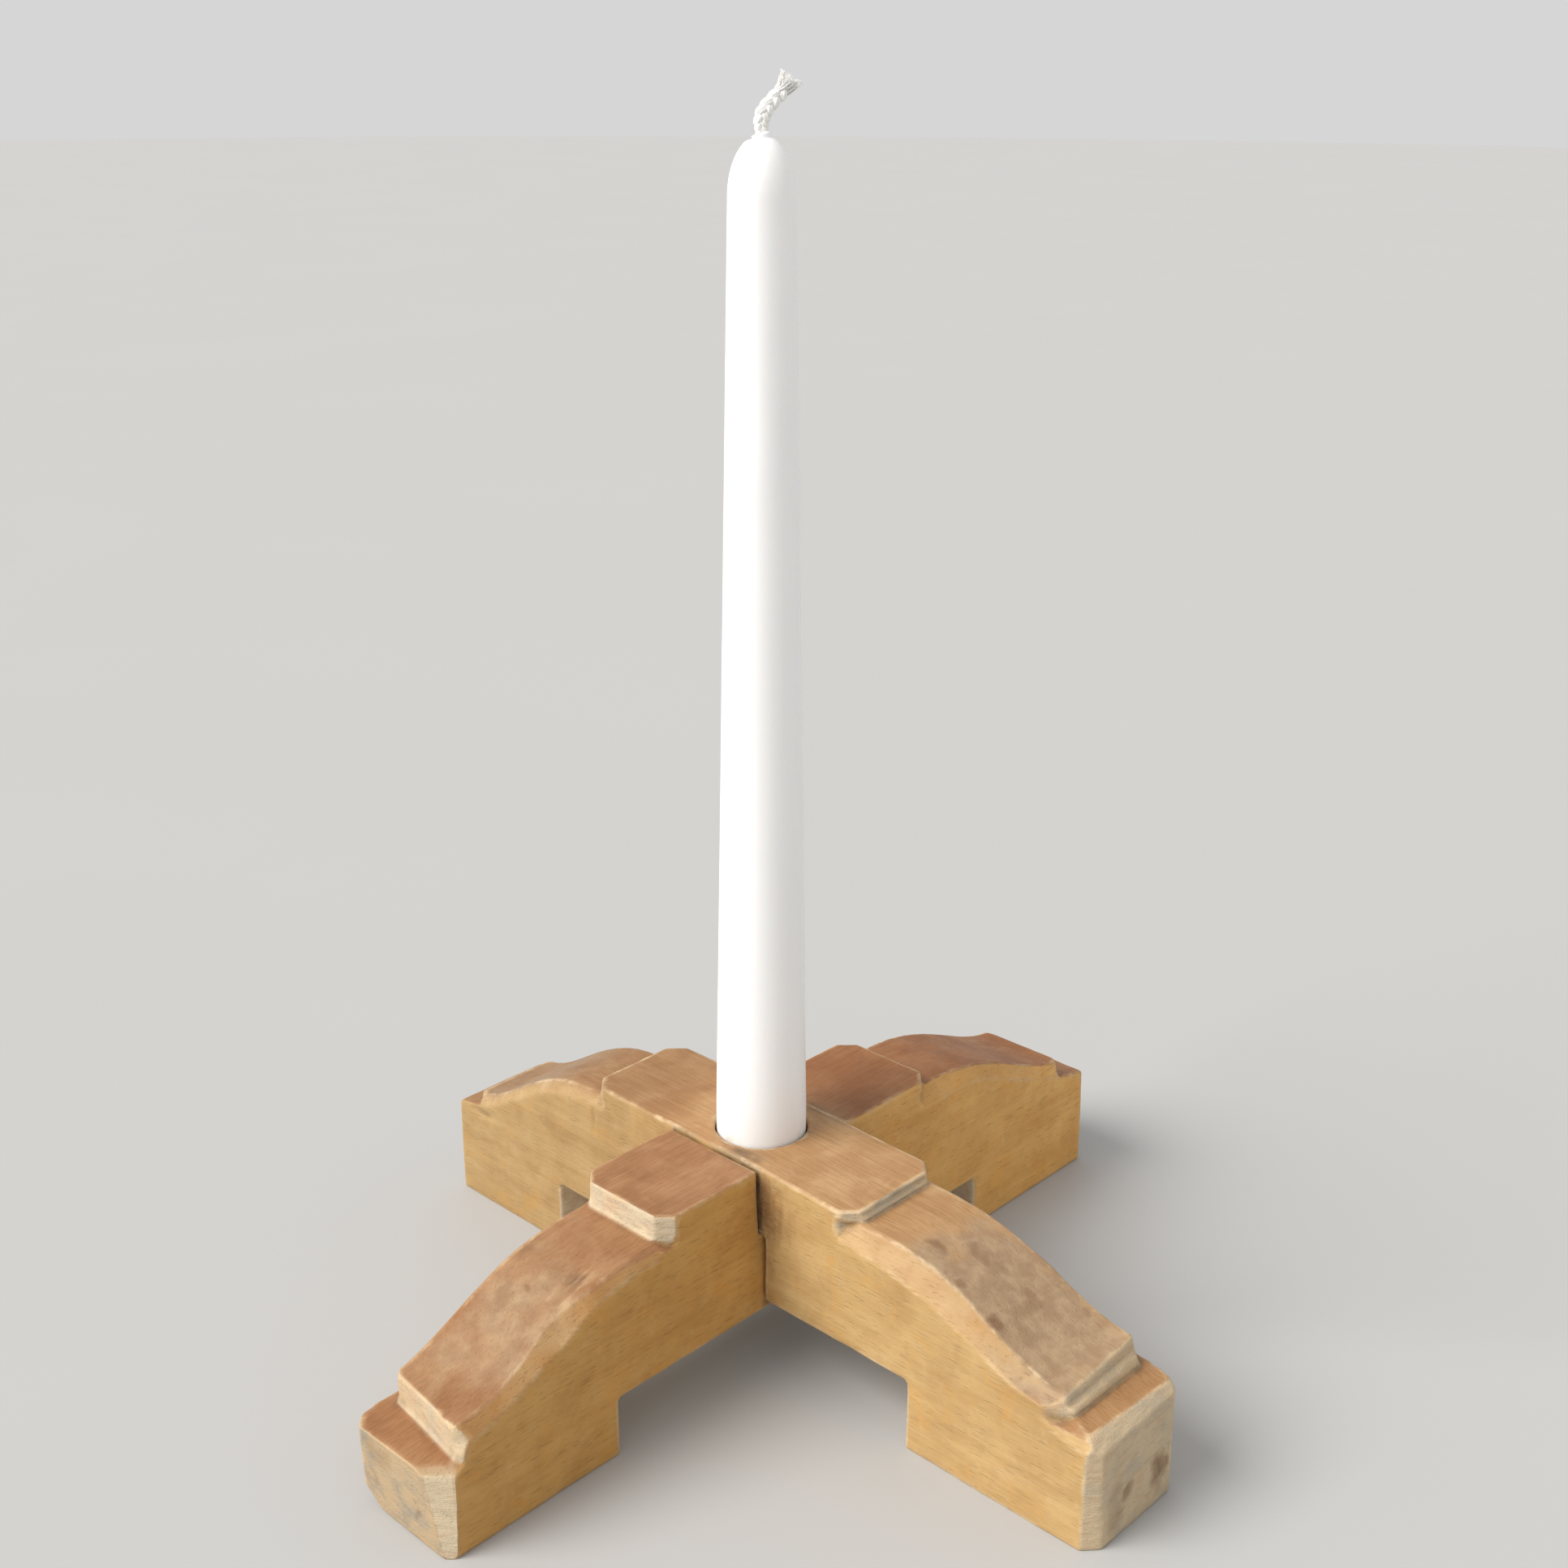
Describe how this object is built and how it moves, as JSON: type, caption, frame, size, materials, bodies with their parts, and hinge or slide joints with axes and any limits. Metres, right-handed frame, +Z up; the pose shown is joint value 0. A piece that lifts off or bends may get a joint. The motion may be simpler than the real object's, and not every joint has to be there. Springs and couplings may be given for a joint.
{
  "type": "crossed-beam candle holder",
  "caption": "Hand-carved wooden candle holder: two arched beams with stepped, sloping arms cross in a half lap, and a white taper candle stands in the hole at the crossing.",
  "frame": {"origin": "on the table, in the middle of the four arms' overall outline; the candle's axis stands at x = -5.25 mm, y = -2.25 mm, because the hand-carved arms differ in length", "axes": "+Z up along the candle; +X along the upper beam's front right arm; +Y along the lower beam's back right arm"},
  "size_m": [0.2154, 0.2304, 0.2979],
  "materials": {
    "wood_lower": "hand-carved hardwood, darkened honey brown, worn satin",
    "wood_upper": "hand-carved hardwood, light honey yellow, worn satin",
    "wax": "white candle wax, soft satin, slightly translucent",
    "cotton": "unburnt braided cotton with a frayed end"
  },
  "bodies": {
    "lower_beam": {"lower_beam": "wood_lower"},
    "upper_beam": {"upper_beam": "wood_upper"},
    "candle": {"candle_wax": "wax", "candle_wick": "cotton"}
  },
  "joints": [
    {"name": "upper_beam_lift", "type": "slide", "parent": "lower_beam", "child": "upper_beam", "axis": [0, 0, 1], "range_m": [0, 0.06]},
    {"name": "candle_lift", "type": "slide", "parent": "upper_beam", "child": "candle", "axis": [0, 0, 1], "range_m": [0, 0.03]}
  ]
}
